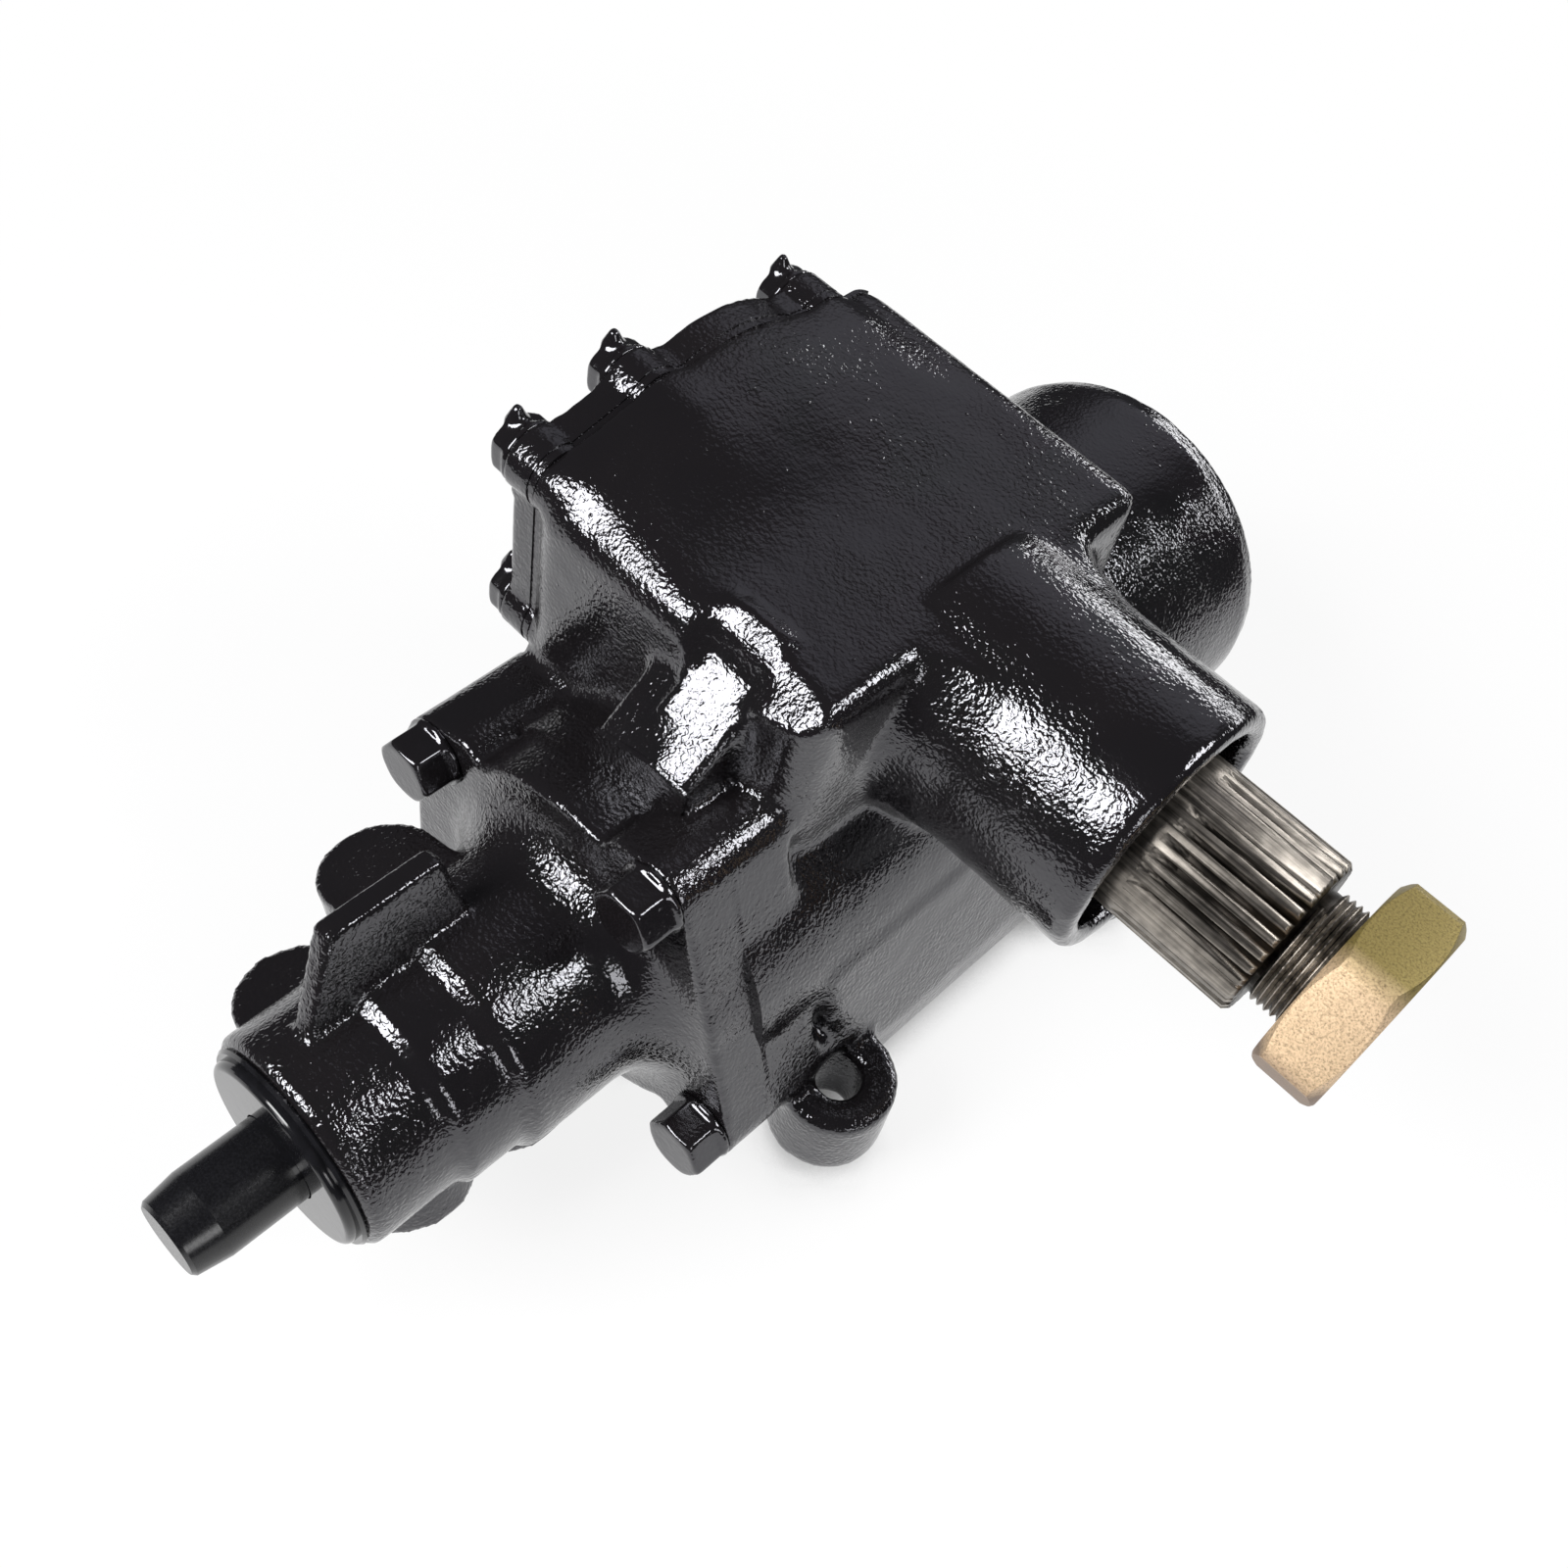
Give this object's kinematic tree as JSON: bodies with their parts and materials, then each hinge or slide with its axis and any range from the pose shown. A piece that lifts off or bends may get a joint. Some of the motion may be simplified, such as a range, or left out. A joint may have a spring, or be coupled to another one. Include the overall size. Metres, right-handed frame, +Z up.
{
  "type": "steering gearbox",
  "caption": "Power steering gearbox with a recirculating-ball worm and rack piston, a splined sector shaft with its nut, and a tilted valve housing with an input shaft and oil ports.",
  "frame": {"origin": "on the sector shaft axis at the end face of the nose, where the pitman arm goes on", "axes": "+X out along the sector shaft to its nut, +Y along the worm axis away from the input shaft, +Z up from the mounting face"},
  "size_m": [0.2067, 0.2961, 0.145],
  "materials": {
    "black_enamel": "thick gloss black enamel over cast iron",
    "painted_bolt": "gloss black enamel over steel",
    "machined_steel": "bare machined steel with an oil film",
    "bearing_steel": "ground and polished",
    "spring_steel": "dark hardened steel",
    "zinc_yellow": "yellow zinc plating, satin",
    "bush_bronze": "bearing bronze",
    "seal_rubber": "satin black rubber",
    "ring_plastic": "filled plastic seal ring",
    "gasket_fibre": "pressed fibre gasket",
    "cap_plastic": "satin black moulded cap"
  },
  "bodies": {
    "housing": {"gear_housing": "black_enamel", "valve_housing": "black_enamel", "valve_housing_o_ring": "seal_rubber", "valve_housing_bolts": "painted_bolt", "side_cover": "black_enamel", "side_cover_gasket": "gasket_fibre", "side_cover_bolts": "painted_bolt", "cover_bush": "bush_bronze", "lash_adjuster_screw": "machined_steel", "adjuster_lock_nut": "machined_steel", "sector_bearing_shell": "bearing_steel", "sector_bearing_needles": "bearing_steel", "sector_seal": "seal_rubber", "seal_backup_washer": "machined_steel", "seal_retaining_ring": "spring_steel", "upper_thrust_bearing": "bearing_steel", "lower_thrust_bearing": "bearing_steel", "worm_race_nut": "machined_steel", "input_bearing_shell": "bearing_steel", "input_bearing_needles": "bearing_steel", "input_seal": "seal_rubber", "dust_cover": "seal_rubber"},
    "worm": {"worm_shaft": "machined_steel", "valve_sleeve": "machined_steel", "sleeve_seal_rings": "ring_plastic", "torsion_bar": "spring_steel"},
    "piston": {"rack_piston": "machined_steel", "piston_ring": "ring_plastic", "piston_end_plug": "machined_steel", "recirculating_balls": "bearing_steel", "ball_return_guide": "machined_steel", "guide_clamp": "machined_steel", "guide_clamp_screws": "machined_steel"},
    "sector": {"sector_shaft": "machined_steel", "pitman_nut": "zinc_yellow"},
    "input": {"input_shaft": "machined_steel", "torsion_bar_pin": "machined_steel", "input_shaft_cap": "cap_plastic"}
  },
  "joints": [
    {"name": "worm_spin", "type": "hinge", "parent": "housing", "child": "worm", "pos_m": [-0.081, 0, -0.055], "axis": [0, 1, 0], "range_deg": [-592, 592]},
    {"name": "piston_slide", "type": "slide", "parent": "housing", "child": "piston", "axis": [0, 1, 0], "range_m": [-0.0176, 0.0176]},
    {"name": "sector_swing", "type": "hinge", "parent": "housing", "child": "sector", "pos_m": [0, 0, 0], "axis": [1, 0, 0], "range_deg": [-37.2, 37.2]},
    {"name": "input_twist", "type": "hinge", "parent": "worm", "child": "input", "pos_m": [-0.081, 0, -0.055], "axis": [0, 1, 0], "range_deg": [-4, 4], "stiffness_Nm_per_rad": 60}
  ],
  "couplings": [
    {"joint": "piston_slide", "follows": "worm_spin", "m_per_rad": -0.001687},
    {"joint": "sector_swing", "follows": "worm_spin", "ratio": -0.062483}
  ]
}
